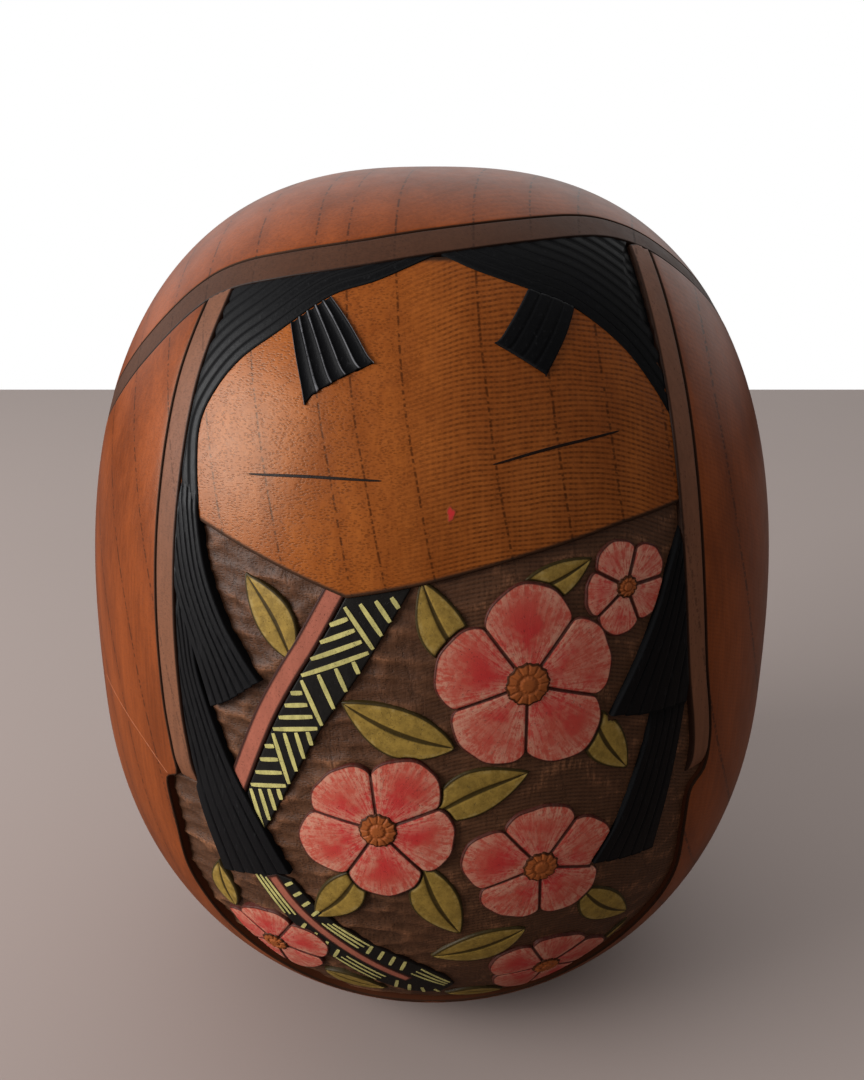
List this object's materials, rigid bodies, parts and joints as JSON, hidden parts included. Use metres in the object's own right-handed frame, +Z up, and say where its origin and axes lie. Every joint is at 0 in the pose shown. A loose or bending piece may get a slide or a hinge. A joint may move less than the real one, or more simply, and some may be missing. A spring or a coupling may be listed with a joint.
{
  "type": "kokeshi doll",
  "caption": "Egg-shaped turned wooden kokeshi doll of a hooded child, with a carved front of face, straight hair and flowered kimono; stands on a flat base.",
  "frame": {"origin": "middle of the flat base", "axes": "+Z up through the crown, the doll looks along -Y, +X to the viewer's right"},
  "size_m": [0.09, 0.0904, 0.1065],
  "materials": {
    "hood_wood": "stained hardwood under satin varnish",
    "face_wood": "bare honey-brown hardwood under satin varnish",
    "band_stain": "flat taupe stain on wood",
    "hair_ink": "black ink over carved strands",
    "line_ink": "dark ink in an incised line",
    "mouth_red": "red paint touch",
    "kimono_brown": "gouged dark brown ground",
    "stripe_red": "brick-red paint",
    "weave_black": "black paint with yellow-green brush strokes",
    "petal_pink": "dry-brushed coral pink paint",
    "boss_brown": "orange-brown paint",
    "leaf_olive": "olive paint"
  },
  "bodies": {
    "root": {"turned_body": "hood_wood", "face_panel": "face_wood", "brow_band": "band_stain", "side_band_left": "band_stain", "side_band_right": "band_stain", "bang_left": "hair_ink", "bang_right": "hair_ink", "forelock_left": "hair_ink", "forelock_right": "hair_ink", "lock_left_upper": "hair_ink", "lock_left_lower": "hair_ink", "lock_right_upper": "hair_ink", "lock_right_lower": "hair_ink", "eye_left": "line_ink", "eye_right": "line_ink", "mouth": "mouth_red", "kimono_panel": "kimono_brown", "collar_stripe": "stripe_red", "collar_weave": "weave_black", "sash_weave": "weave_black", "blossom_1": "petal_pink", "blossom_2": "petal_pink", "blossom_3": "petal_pink", "blossom_4": "petal_pink", "blossom_5": "petal_pink", "blossom_6": "petal_pink", "blossom_boss_1": "boss_brown", "blossom_boss_2": "boss_brown", "blossom_boss_3": "boss_brown", "blossom_boss_4": "boss_brown", "blossom_boss_5": "boss_brown", "blossom_boss_6": "boss_brown", "leaf_01": "leaf_olive", "leaf_02": "leaf_olive", "leaf_03": "leaf_olive", "leaf_04": "leaf_olive", "leaf_05": "leaf_olive", "leaf_06": "leaf_olive", "leaf_07": "leaf_olive", "leaf_08": "leaf_olive", "leaf_09": "leaf_olive", "leaf_10": "leaf_olive", "leaf_11": "leaf_olive", "leaf_12": "leaf_olive", "leaf_13": "leaf_olive", "leaf_14": "leaf_olive"}
  },
  "joints": []
}
